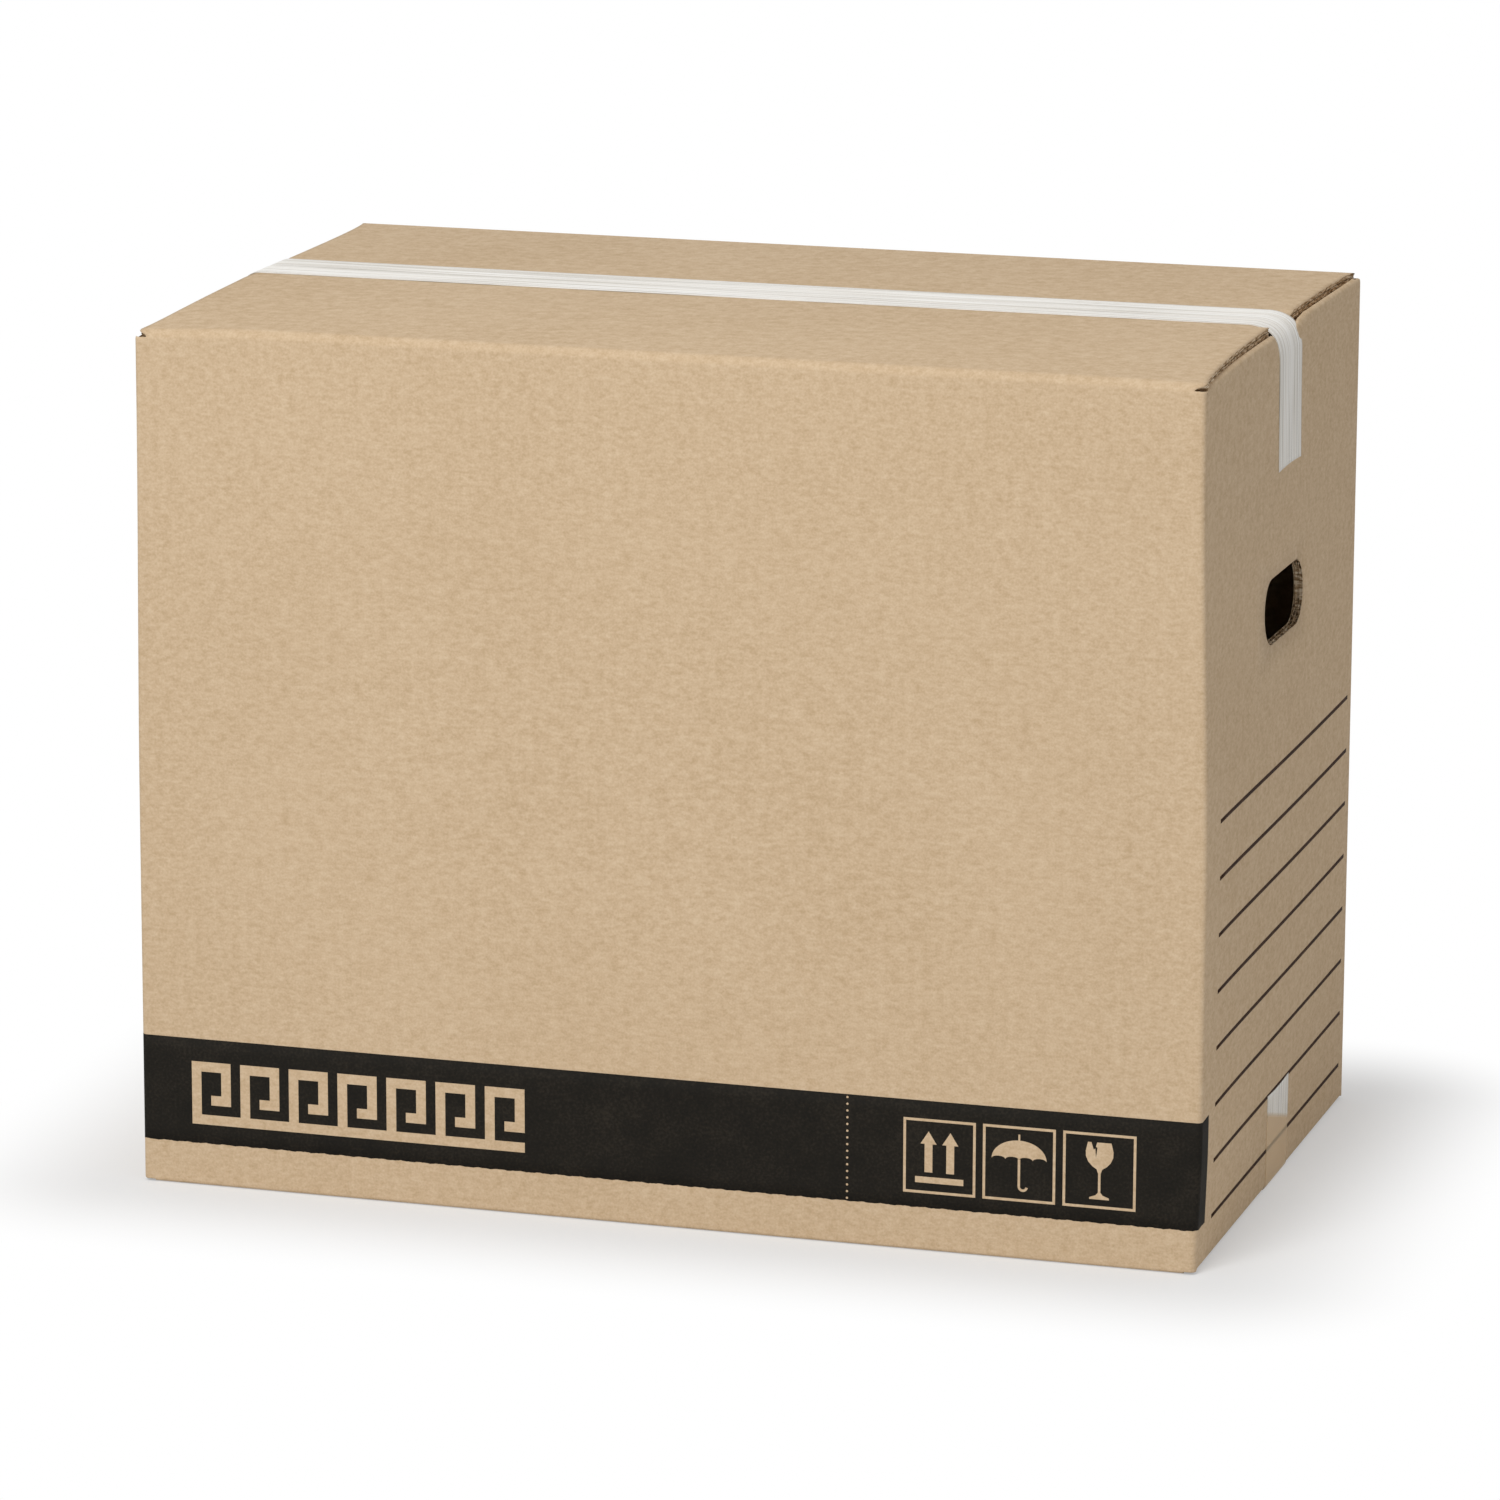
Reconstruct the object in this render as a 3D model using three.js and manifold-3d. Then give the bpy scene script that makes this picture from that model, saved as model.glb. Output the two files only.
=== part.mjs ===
// A closed and taped moving carton of double-wall corrugated board, with a hand hole in each end.
// Millimetres, +Z up. The origin lies on the floor under the middle of the box, and +X runs along its length.
import * as THREE from "three";
import { mergeVertices } from "three/addons/utils/BufferGeometryUtils.js";
import Module from "manifold-3d";

// Size of the closed box, over its board
const BOX_LENGTH = 576;
const BOX_WIDTH = 354;
const BOX_HEIGHT = 465;

// Double-wall board: an outer, a middle and an inner liner, with a wavy medium between each two
const BOARD = 7;
const LINER = 0.7;
const MEDIUM = 0.6;
const FLUTE_PITCH = 7;
const OPEN_FLUTE_DEPTH = 2.5; // how far in the hollow flutes of a cut edge reach

// Folds and flaps
const FOLD_INNER_RADIUS = 1;
const SEAM_GAP = 1; // between the two long flaps, where they meet along the middle
const LAYER_GAP = 0.4; // between a long flap and the end flap under it
const TOP_FLAP_INSET = 6; // a long flap's cut side edge lies this far behind the face of the end panel
const BOTTOM_FLAP_INSET = 1; // the same under the box, where the load has pressed the flaps out
const SLOT_CLEARANCE = 1.5; // from an end flap's cut side edge to the wall beside it
const GLUE_TAB_WIDTH = 38;
const JOINT_EDGE_SETBACK = 2; // the back panel's cut edge stops this far short of the end panel's face

// Hand holes, one in the middle of each end panel
const HAND_HOLE_WIDTH = 87;
const HAND_HOLE_HEIGHT = 36;
const HAND_HOLE_CORNER_RADIUS = 16;
const HAND_HOLE_DROP = 148; // from the top of the box down to the middle of the hole

// Filament tape: one strip over the top and one under the bottom, each with its two ends turned onto the end panels
const TAPE_WIDTH = 50;
const TAPE = 0.3;
const TOP_TAIL = 77; // from the top of the box down to the strip's cut end
const BOTTOM_TAIL = 52; // from the bottom of the box up to the strip's cut end
const TOP_TAPE_OFFSET = 13; // how far behind the seam the middle of the strip lies
const BOTTOM_TAPE_OFFSET = 8;

const ARC_STEPS = 4; // straight pieces to a quarter turn, an even number
const MERGE_OVERLAP = 0.05; // how far a flap's strip of wall runs into the wall that carries it

// Sizes that follow from these
const foldOuterRadius = BOARD + FOLD_INNER_RADIUS;
const fluteHeight = (BOARD - 3 * LINER) / 2;
const wallEnd = BOARD + LAYER_GAP + foldOuterRadius; // the four walls stand between the folds of the end flaps
const wallBottom = wallEnd;
const wallTop = BOX_HEIGHT - wallEnd;
const flapReach = (BOX_WIDTH - SEAM_GAP) / 2; // all flaps are cut to one length, from the outside of their fold
const endFlapWidth = BOX_WIDTH - 2 * (BOARD + SLOT_CLEARANCE);
const handHoleZ = BOX_HEIGHT - HAND_HOLE_DROP;

// Distance of each layer's outer side from the outer face of the board
const fluteLayers = [LINER, 2 * LINER + fluteHeight];

const wasm = await Module();
wasm.setup();

// Turns a closed geometry into a solid that can be cut and joined
function solid(geometry) {
  const bare = geometry.clone();
  bare.deleteAttribute("normal");
  bare.deleteAttribute("uv");
  const merged = mergeVertices(bare, 1e-4);
  return new wasm.Manifold(
    new wasm.Mesh({
      numProp: 3,
      vertProperties: new Float32Array(merged.attributes.position.array),
      triVerts: new Uint32Array(merged.index.array),
    }),
  );
}

// Turns a solid back into a geometry
function geometryOf(made) {
  const mesh = made.getMesh();
  const geometry = new THREE.BufferGeometry();
  geometry.setAttribute("position", new THREE.BufferAttribute(new Float32Array(mesh.vertProperties), 3));
  geometry.setIndex(new THREE.BufferAttribute(new Uint32Array(mesh.triVerts), 1));
  const faceted = geometry.toNonIndexed();
  faceted.computeVertexNormals();
  return faceted;
}

// Directions in which an outline is swept, as the world axes of its own x, its own y and the sweep
const ACROSS = { x: [0, 1, 0], y: [0, 0, 1], sweep: [1, 0, 0] }; // outline in y and z, swept along +X
const ALONG = { x: [-1, 0, 0], y: [0, 0, 1], sweep: [0, 1, 0] }; // outline in -x and z, swept along +Y
const UPWARD = { x: [1, 0, 0], y: [0, 1, 0], sweep: [0, 0, 1] }; // outline in x and y, swept along +Z

// Sweeps an outline straight from one place to another along the sweep direction
function swept(shape, direction, from, to) {
  const geometry = new THREE.ExtrudeGeometry(shape, {
    depth: to - from,
    bevelEnabled: false,
    curveSegments: ARC_STEPS / 2, // an arc is drawn with twice as many pieces
  });
  geometry.translate(0, 0, from);
  const axes = [direction.x, direction.y, direction.sweep].map((axis) => new THREE.Vector3(...axis));
  geometry.applyMatrix4(new THREE.Matrix4().makeBasis(...axes));
  return solid(geometry);
}

// Outline of a wall's upper end with its flap folded inwards, or of one layer inside that board.
// The wall's outer face stands at -halfSpan, the flap's outer face lies at height, and the layer starts at depth
// below the outer face and is as thick as given.
function foldedOutline(halfSpan, wallStart, height, reach, depth, thickness) {
  const outerRadius = foldOuterRadius - depth;
  const innerRadius = outerRadius - thickness;
  const centreX = -halfSpan + foldOuterRadius;
  const centreY = height - foldOuterRadius;
  const flapEnd = -halfSpan + reach;
  const shape = new THREE.Shape();
  shape.moveTo(-halfSpan + depth, wallStart);
  shape.lineTo(-halfSpan + depth, centreY);
  shape.absarc(centreX, centreY, outerRadius, Math.PI, Math.PI / 2, true);
  shape.lineTo(flapEnd, height - depth);
  shape.lineTo(flapEnd, height - depth - thickness);
  shape.lineTo(centreX, height - depth - thickness);
  shape.absarc(centreX, centreY, innerRadius, Math.PI / 2, Math.PI, false);
  shape.lineTo(-halfSpan + depth + thickness, wallStart);
  shape.closePath();
  return shape;
}

// One folded flap with the strip of wall above the slots, its two side edges showing hollow flutes.
// It stands on the -y side for a long flap and on the +x side for an end flap.
function flap(direction, halfSpan, height, width) {
  const half = width / 2;
  let made = swept(
    foldedOutline(halfSpan, wallTop - MERGE_OVERLAP, height, flapReach, 0, BOARD),
    direction,
    -half,
    half,
  );
  for (const depth of fluteLayers) {
    const layer = foldedOutline(halfSpan, wallTop, height, flapReach - LINER, depth, fluteHeight);
    made = made.subtract(swept(layer, direction, half - OPEN_FLUTE_DEPTH, half + 1));
    made = made.subtract(swept(layer, direction, -half - 1, -half + OPEN_FLUTE_DEPTH));
  }
  return made;
}

// The same solid turned half round about the vertical axis, and turned over about the box's mid height
function facingBack(made) {
  return made.rotate([0, 0, 180]);
}
function atTheBottom(made) {
  return made.mirror([0, 0, 1]).translate([0, 0, BOX_HEIGHT]);
}

// The four walls in one strip: it starts with the glue tab inside the back panel's free end, turns round the
// left end panel, the front panel, the right end panel, and ends with the back panel's cut edge.
function wallOutline() {
  const x = BOX_LENGTH / 2;
  const y = BOX_WIDTH / 2;
  const r = foldOuterRadius;
  const quarter = Math.PI / 2;
  const shape = new THREE.Shape();
  shape.moveTo(-x + JOINT_EDGE_SETBACK, y);
  shape.lineTo(-x + JOINT_EDGE_SETBACK, y - BOARD);
  shape.lineTo(-x + r, y - BOARD);
  shape.absarc(-x + r, y - BOARD - r, r, quarter, 2 * quarter, false);
  shape.absarc(-x + r, -y + r, r, 2 * quarter, 3 * quarter, false);
  shape.absarc(x - r, -y + r, r, 3 * quarter, 4 * quarter, false);
  shape.absarc(x - r, y - r, r, 0, quarter, false);
  shape.closePath();
  const inside = new THREE.Path();
  const c = FOLD_INNER_RADIUS;
  const wall = BOARD;
  const tabEnd = -x + r + GLUE_TAB_WIDTH;
  inside.moveTo(tabEnd, y - wall);
  inside.lineTo(tabEnd, y - 2 * wall);
  inside.lineTo(-x + wall + c, y - 2 * wall);
  inside.absarc(-x + wall + c, y - 2 * wall - c, c, quarter, 2 * quarter, false);
  inside.absarc(-x + wall + c, -y + wall + c, c, 2 * quarter, 3 * quarter, false);
  inside.absarc(x - wall - c, -y + wall + c, c, 3 * quarter, 4 * quarter, false);
  inside.absarc(x - wall - c, y - wall - c, c, 0, quarter, false);
  inside.closePath();
  shape.holes.push(inside);
  return shape;
}

// Rounded outline of a hand hole, larger all round by margin, in y and z
function handHoleOutline(margin) {
  const halfWidth = HAND_HOLE_WIDTH / 2 + margin;
  const halfHeight = HAND_HOLE_HEIGHT / 2 + margin;
  const r = HAND_HOLE_CORNER_RADIUS + margin;
  const quarter = Math.PI / 2;
  const shape = new THREE.Shape();
  shape.absarc(halfWidth - r, handHoleZ + halfHeight - r, r, 0, quarter, false);
  shape.absarc(-halfWidth + r, handHoleZ + halfHeight - r, r, quarter, 2 * quarter, false);
  shape.absarc(-halfWidth + r, handHoleZ - halfHeight + r, r, 2 * quarter, 3 * quarter, false);
  shape.absarc(halfWidth - r, handHoleZ - halfHeight + r, r, 3 * quarter, 4 * quarter, false);
  shape.closePath();
  return shape;
}

// One layer of fluted medium as an upright zigzag web between two liners, from outerX inwards.
// It ends inside the width of the hand hole, so that every flute beside it stays open to the hole.
function fluteWeb(outerX) {
  const innerX = outerX - fluteHeight;
  const halfPitch = FLUTE_PITCH / 2;
  const count = 2 * Math.floor(HAND_HOLE_WIDTH / 2 / FLUTE_PITCH);
  const crest = (k) => (k % 2 === 0 ? outerX + LINER / 2 : innerX + LINER / 2);
  const places = [];
  for (let k = -count; k <= count; k += 1) places.push([crest(Math.abs(k)), k * halfPitch]);
  const shape = new THREE.Shape();
  places.forEach(([x, y], k) => (k === 0 ? shape.moveTo(x, y) : shape.lineTo(x, y)));
  places.reverse().forEach(([x, y]) => shape.lineTo(x - MEDIUM, y));
  shape.closePath();
  const reach = HAND_HOLE_HEIGHT / 2 + OPEN_FLUTE_DEPTH + 1;
  return swept(shape, UPWARD, handHoleZ - reach, handHoleZ + reach);
}

// What the cutter takes out of the +x end panel: the hole, and round its edge the hollow of the flutes
function handHole() {
  const face = BOX_LENGTH / 2;
  let cut = swept(handHoleOutline(0), ACROSS, face - BOARD - 1, face + 1);
  for (const depth of fluteLayers) {
    const outerX = face - depth;
    const opened = swept(handHoleOutline(OPEN_FLUTE_DEPTH), ACROSS, outerX - fluteHeight, outerX);
    cut = cut.add(opened.subtract(fluteWeb(outerX)));
  }
  return cut;
}

// The folded and glued blank
function carton() {
  const topFlap = flap(ACROSS, BOX_WIDTH / 2, BOX_HEIGHT, BOX_LENGTH - 2 * TOP_FLAP_INSET);
  const bottomFlap = atTheBottom(flap(ACROSS, BOX_WIDTH / 2, BOX_HEIGHT, BOX_LENGTH - 2 * BOTTOM_FLAP_INSET));
  const endFlap = flap(ALONG, BOX_LENGTH / 2, BOX_HEIGHT - BOARD - LAYER_GAP, endFlapWidth);
  let made = swept(wallOutline(), UPWARD, wallBottom, wallTop);
  for (const one of [topFlap, bottomFlap, endFlap, atTheBottom(endFlap)]) made = made.add(one).add(facingBack(one));
  const hole = handHole();
  return made.subtract(hole).subtract(facingBack(hole));
}

// Outline, in x and z, of a strip that lies flat along the box at height and has both ends turned down by tail.
// Its bend, from the flaps' side edges down to the end panels, is as large as the flaps are inset.
function tapeOutline(height, tail, bend) {
  const x = BOX_LENGTH / 2;
  const quarter = Math.PI / 2;
  const shape = new THREE.Shape();
  shape.moveTo(x, height - tail);
  shape.lineTo(x + TAPE, height - tail);
  shape.absarc(x - bend, height - bend, bend + TAPE, 0, quarter, false);
  shape.absarc(-x + bend, height - bend, bend + TAPE, quarter, 2 * quarter, false);
  shape.lineTo(-x - TAPE, height - tail);
  shape.lineTo(-x, height - tail);
  shape.absarc(-x + bend, height - bend, bend, 2 * quarter, quarter, true);
  shape.absarc(x - bend, height - bend, bend, quarter, 0, true);
  shape.closePath();
  return shape;
}

// A strip of tape over the top of the box, with its middle at offset
function tapeStrip(tail, offset, inset) {
  const outline = tapeOutline(BOX_HEIGHT, tail, inset);
  return swept(outline, ALONG, offset - TAPE_WIDTH / 2, offset + TAPE_WIDTH / 2);
}

// The named pieces, with the box standing on the tape under its bottom
const kraft = new THREE.MeshStandardMaterial({ color: "#c4a985", roughness: 0.88, metalness: 0 });
const filament = new THREE.MeshStandardMaterial({ color: "#dedbd2", roughness: 0.45, metalness: 0 });

const box = new THREE.Group();
box.position.z = TAPE;

function addPiece(name, made, material) {
  const piece = new THREE.Mesh(geometryOf(made), material);
  piece.name = name;
  box.add(piece);
}

addPiece("carton", carton(), kraft);
addPiece("tape_top", tapeStrip(TOP_TAIL, TOP_TAPE_OFFSET, TOP_FLAP_INSET), filament);
const bottomStrip = tapeStrip(BOTTOM_TAIL, BOTTOM_TAPE_OFFSET, BOTTOM_FLAP_INSET);
addPiece("tape_bottom", atTheBottom(bottomStrip), filament);

const part = new THREE.Group();
part.add(box);
export default part;
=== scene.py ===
# %% [markdown]
# # A taped moving carton with hand holes
# The part is one sheet of double-wall corrugated board, cut flat, scored, folded and glued, and shut
# with two strips of filament tape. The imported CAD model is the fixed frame: it gives the box's size and
# place. Here every piece gets its real surface. The carton is made as it is made in a factory: first as
# a flat blank, then folded by one formula.

import bpy
import numpy as np
from mathutils import Matrix, Vector


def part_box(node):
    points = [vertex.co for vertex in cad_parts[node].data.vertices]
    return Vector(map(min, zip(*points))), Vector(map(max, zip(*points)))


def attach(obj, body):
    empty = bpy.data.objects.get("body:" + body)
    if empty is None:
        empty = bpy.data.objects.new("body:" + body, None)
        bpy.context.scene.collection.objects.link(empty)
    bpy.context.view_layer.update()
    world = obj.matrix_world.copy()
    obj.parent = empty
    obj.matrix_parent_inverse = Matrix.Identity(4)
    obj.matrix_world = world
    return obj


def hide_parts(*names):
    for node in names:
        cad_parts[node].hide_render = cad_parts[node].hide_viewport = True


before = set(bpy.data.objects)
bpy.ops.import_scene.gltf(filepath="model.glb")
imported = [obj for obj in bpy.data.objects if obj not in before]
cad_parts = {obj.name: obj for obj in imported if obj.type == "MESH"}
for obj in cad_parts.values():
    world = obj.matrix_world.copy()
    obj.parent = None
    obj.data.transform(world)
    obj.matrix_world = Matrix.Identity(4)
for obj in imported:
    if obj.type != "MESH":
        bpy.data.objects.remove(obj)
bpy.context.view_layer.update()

# %% [markdown]
# ## Sizes
# All lengths are in metres. What the frame knows is read from it, and the rest are the board's and the
# tape's own measures. The blank is described by two numbers: `across` runs along the strip of walls, and
# `up` runs from the bottom flaps over the walls to the top flaps. A third, `depth`, goes from the outer
# face into the board.

# %% Sizes of box, board and tape
MM = 0.001
carton_low, carton_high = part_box("carton")
HALF_LENGTH = round(carton_high.x, 6)
HALF_WIDTH = round(carton_high.y, 6)
BASE = round(carton_low.z, 6)
HEIGHT = round(carton_high.z - carton_low.z, 6)
BOARD = 7 * MM
LINER = 0.45 * MM
FLUTE_PITCH = 7 * MM
QUARTER = np.pi / 2
SAME = 1e-6
CORNER_RADIUS = 3 * MM
LONG_RADIUS = 5 * MM
LOW_RADIUS = 2 * MM
END_RADIUS = 3 * MM
LAYER_GAP = 0.4 * MM
END_DROP = BOARD + LAYER_GAP
WALL_LOW, WALL_TOP = 1 * MM, HEIGHT - 3.5 * MM
SEAM_GAP = 1 * MM
FLAP_REACH = HALF_WIDTH - SEAM_GAP / 2
TOP_INSET = 7 * MM
BOTTOM_INSET = 6.5 * MM
SLOT_CLEARANCE = 1.5 * MM
TAB_WIDTH = 38 * MM
TAB_GAP = 0.2 * MM
JOINT_SETBACK = 2 * MM
print("box", 2 * HALF_LENGTH, 2 * HALF_WIDTH, HEIGHT)

# %% [markdown]
# ## The walls' path
# Seen from above, the strip of walls is one line: glue tab, left end, front, right end, back. A line is
# made here from its heading: the heading turns evenly along each piece, and the place is the running sum
# of the heading's direction. That gives exact arcs and one clean distance along the line, which becomes
# the blank's `across`.

# %% Path helper
PATH_STEP = 0.1 * MM


def walk(start, heading, pieces):
    """Table of a plane path. Each piece is (length, turn): the heading turns evenly over the length, and
    the place is the start plus the sum of the steps along the heading at the middle of each step."""
    lengths, turns = np.array(pieces, float).T
    marks = np.concatenate([[0], np.cumsum(lengths)])
    angles = heading + np.concatenate([[0], np.cumsum(turns)])
    distance = np.linspace(0, marks[-1], int(marks[-1] / PATH_STEP) + 1)
    angle = np.interp(distance, marks, angles)
    middle = (angle[1:] + angle[:-1]) / 2
    step = np.diff(distance)
    x = start[0] + np.concatenate([[0], np.cumsum(np.cos(middle) * step)])
    y = start[1] + np.concatenate([[0], np.cumsum(np.sin(middle) * step)])
    return {"distance": distance, "x": x, "y": y, "angle": angle, "marks": marks}


def along(path, distance):
    """Place and heading at each distance, from the path's table."""
    return tuple(np.interp(distance, path["distance"], path[key]) for key in ("x", "y", "angle"))


# %% The ring of walls
corner = (CORNER_RADIUS * QUARTER, QUARTER)
front_length = 2 * (HALF_LENGTH - CORNER_RADIUS)
end_length = 2 * (HALF_WIDTH - CORNER_RADIUS)
left_end_length = end_length - BOARD - TAB_GAP
back_length = front_length + CORNER_RADIUS - JOINT_SETBACK
ring = walk(
    (-HALF_LENGTH + CORNER_RADIUS + TAB_WIDTH, HALF_WIDTH - BOARD - TAB_GAP),
    np.pi,
    [
        (TAB_WIDTH, 0), corner, (left_end_length, 0), corner, (front_length, 0), corner,
        (end_length, 0), corner, (back_length, 0),
    ],
)
TAB_END, LEFT_START, LEFT_END, FRONT_START = ring["marks"][1:5]
FRONT_END, RIGHT_START, RIGHT_END, BACK_START, BACK_END = ring["marks"][5:]
print("strip of walls", round(BACK_END, 4), "m long")

# %% [markdown]
# ## Folding
# A fold is a quarter turn about a line just inside the board. For a point past the score, the turn angle
# is its distance past the score divided by the fold's outer radius, and what is left over runs straight
# inwards as flap. The board is pressed thin along every score, so it doesn't run into itself inside the
# bend, and the die presses it thinner round each hand hole too. The end panels stand up in a low ridge
# beside the long flaps' cut edges, and their flaps drop behind it to lie under the long ones.

# %% Folding formula
RIDGE_DROP = 3.6 * MM
LOW_RIDGE_DROP = 0.5 * MM
RIDGE_BACK = 3.2 * MM
SQUEEZE_SPREAD = 8 * MM
LEAST_RADIUS = 0.5 * MM
HOLE_WIDTH, HOLE_HEIGHT, HOLE_CORNER = 88 * MM, 35 * MM, 17.3 * MM
HOLE_UP = HEIGHT - 148 * MM
HOLE_PRESS = 0.68
left_middle = LEFT_END - end_length / 2
right_middle = (RIGHT_START + RIGHT_END) / 2
CORNERS = (
    (TAB_END, LEFT_START), (LEFT_END, FRONT_START), (FRONT_END, RIGHT_START), (RIGHT_END, BACK_START),
)


def ease(t):
    """Smooth step: 0 below 0, 1 above 1, and level at both ends."""
    t = np.clip(t, 0, 1)
    return t * t * (3 - 2 * t)


def is_end(across):
    """True on the two end panels and their flaps."""
    on_left = (across > LEFT_START) & (across < LEFT_END)
    return on_left | ((across > RIGHT_START) & (across < RIGHT_END))


def thinned(distance, least):
    """Share of the board's thickness at a distance from a score: least on it, 1 beyond the spread."""
    return 1 - (1 - least) * ease(1 - distance / SQUEEZE_SPREAD)


def pressed_share(across, up, past, radius, bend):
    """Share of the thickness that the scores, the upright folds and the hand holes' edges leave."""
    from_fold = np.maximum(np.maximum(-past, past - bend), 0)
    share = thinned(from_fold, (radius - LEAST_RADIUS) / BOARD)
    for first, last in CORNERS:
        gap = np.maximum(np.maximum(first - across, across - last), 0)
        share = np.minimum(share, thinned(gap, (CORNER_RADIUS - LEAST_RADIUS) / BOARD))
    for middle in (left_middle, right_middle):
        aside = np.maximum(np.abs(across - middle) - HOLE_WIDTH / 2 + HOLE_CORNER, 0)
        above = np.maximum(np.abs(up - HOLE_UP) - HOLE_HEIGHT / 2 + HOLE_CORNER, 0)
        from_hole = np.maximum(np.hypot(aside, above) - HOLE_CORNER, 0)
        share = np.minimum(share, thinned(from_hole, HOLE_PRESS))
    return share


def fold(across, up, depth):
    """Folded place of points of the blank, whether each is on an end panel, how far it has dropped behind
    the ridge, and how far over the top fold it is: 0 on a wall, 1 on a flap. The wall path gives the place
    on the wall. Past a score, the travel along the wall's outward normal is
    (radius - depth) cos(turn) - radius - rest, and the height is score + (radius - depth) sin(turn)."""
    end = is_end(across)
    high = up > HEIGHT / 2
    radius = np.where(end, END_RADIUS, np.where(high, LONG_RADIUS, LOW_RADIUS))
    drop = np.where(end, np.where(high, RIDGE_DROP, LOW_RIDGE_DROP), 0.0)
    score = np.where(high, HEIGHT - radius - drop, radius + drop)
    past = np.where(high, up - score, score - up)
    turn = np.clip(past / radius, 0, QUARTER)
    rest = np.maximum(past - radius * QUARTER, 0)
    bend = radius * QUARTER + np.where(end, RIDGE_BACK, 0.0)
    inner = np.where(depth > 0, depth * pressed_share(across, up, past, radius, bend), depth)
    x, y, heading = along(ring, across)
    outward = (radius - inner) * np.cos(turn) - radius - rest
    rise = (radius - inner) * np.sin(turn)
    behind = np.where(end, ease(rest / RIDGE_BACK), 0.0)
    fall = behind * (END_DROP - drop)
    z = np.where(high, np.minimum(up, score) + rise - fall, np.maximum(up, score) - rise + fall)
    place = np.stack([x + outward * np.sin(heading), y - outward * np.cos(heading), z], -1)
    return place, end, behind, high * turn / QUARTER


# %% [markdown]
# ## Small departures of a real box
# A taped box isn't exact. Its walls belly out, the right end leans, the front edge of the top droops and
# is pressed at its two corners, and the tape crushes the ridge and the flaps' edges where it pulls over
# them. The tape's own side view comes first, because it says how low the board under it is pressed.

# %% Side view of the top tape
TAPE_OFF = 0.06 * MM
TAPE_THICK = 0.2 * MM
top_box, low_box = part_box("tape_top"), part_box("tape_bottom")


def strip_path(end_height, top_height, right_bends, left_bends):
    """Side view of a strip: up the right end panel, round its bends onto the flat, across, and down the
    left end panel. Each bend is (radius, turn), and the straight runs fill what the bends leave."""
    side = HALF_LENGTH + TAPE_OFF
    pieces = [[(radius * turn, turn) for radius, turn in bends] for bends in (right_bends, left_bends)]
    right, left = (walk((0, 0), QUARTER, bends) for bends in pieces)
    rises = [top_height - end_height - bend["y"][-1] for bend in (right, left)]
    level = 2 * side + right["x"][-1] + left["x"][-1]
    return walk(
        (side, end_height), QUARTER,
        [(rises[0], 0), *pieces[0], (level, 0), *pieces[1][::-1], (rises[1], 0)],
    )


top_path = strip_path(
    top_box[0].z, BASE + HEIGHT + TAPE_OFF,
    [(30 * MM, np.radians(20)), (12 * MM, np.radians(50)), (30 * MM, np.radians(20))],
    [(9 * MM, np.radians(30)), (8 * MM, np.radians(30)), (9 * MM, np.radians(30))],
)
on_right = top_path["x"] > 0
right_x, right_z = top_path["x"][on_right], top_path["y"][on_right] - BASE
left_x, left_z = -top_path["x"][~on_right][::-1], top_path["y"][~on_right][::-1] - BASE
TAPE_MIDDLE = (top_box[0].y + top_box[1].y) / 2
TAPE_HALF = (top_box[1].y - top_box[0].y) / 2

# %% Departures
WALL_BELLY = 1.4 * MM
CORNER_PRESS = 3.2 * MM
FRONT_DROOP, DROOP_FROM = 2.2 * MM, 60 * MM
LEFT_IN = 1.6 * MM
LEAN_OUT, LEAN_OUT_TOP = 2.1 * MM, 70 * MM
LEAN_IN, LEAN_IN_FROM, LEAN_IN_SPAN = 4.7 * MM, 200 * MM, 230 * MM
BACK_OUT = 0.9 * MM
FAR_RIDGE, FAR_RIDGE_FROM, FAR_RIDGE_SPAN = 1.1 * MM, 10 * MM, 60 * MM
RIDGE_PRESS, PRESS_FROM, PRESS_SPAN = 4.8 * MM, 430 * MM, 28 * MM
LEFT_RIDGE_SHARE = 0.3
CRUSHED_BOARD = 2.4 * MM
TAPE_SHOULDER = 5 * MM
EDGE_FLARE, CORNER_FLARE, FLARE_SPAN = 2.8 * MM, 2.2 * MM, 22 * MM
FLARE_START, FLARE_BLEND = 0.2, 0.5
NEAR_END, END_BLEND = 26 * MM, 24 * MM
NEAR_SIDE, SIDE_BLEND = 20 * MM, 12 * MM
NEAR_TOP, TOP_BLEND = 70 * MM, 60 * MM
FRONT_FROM = 30 * MM
LEFT_PRESS_SPAN, RIGHT_PRESS_SPAN, RIGHT_PRESS_SHARE = 75 * MM, 60 * MM, 0.3


def lean(y, z):
    """How far the right end panel stands out: its front fold leans out below and in above, and both fade
    to the back."""
    share = (HALF_WIDTH - y) / (2 * HALF_WIDTH)
    out = LEAN_OUT * ease(z / LEAN_OUT_TOP) * share**8
    return out - LEAN_IN * ease((z - LEAN_IN_FROM) / LEAN_IN_SPAN) * share + BACK_OUT * (1 - share)


def taped_share(y):
    """1 under the top tape, falling to 0 a little beside it."""
    return ease((TAPE_HALF + TAPE_SHOULDER - np.abs(y - TAPE_MIDDLE)) / TAPE_SHOULDER)


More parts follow.
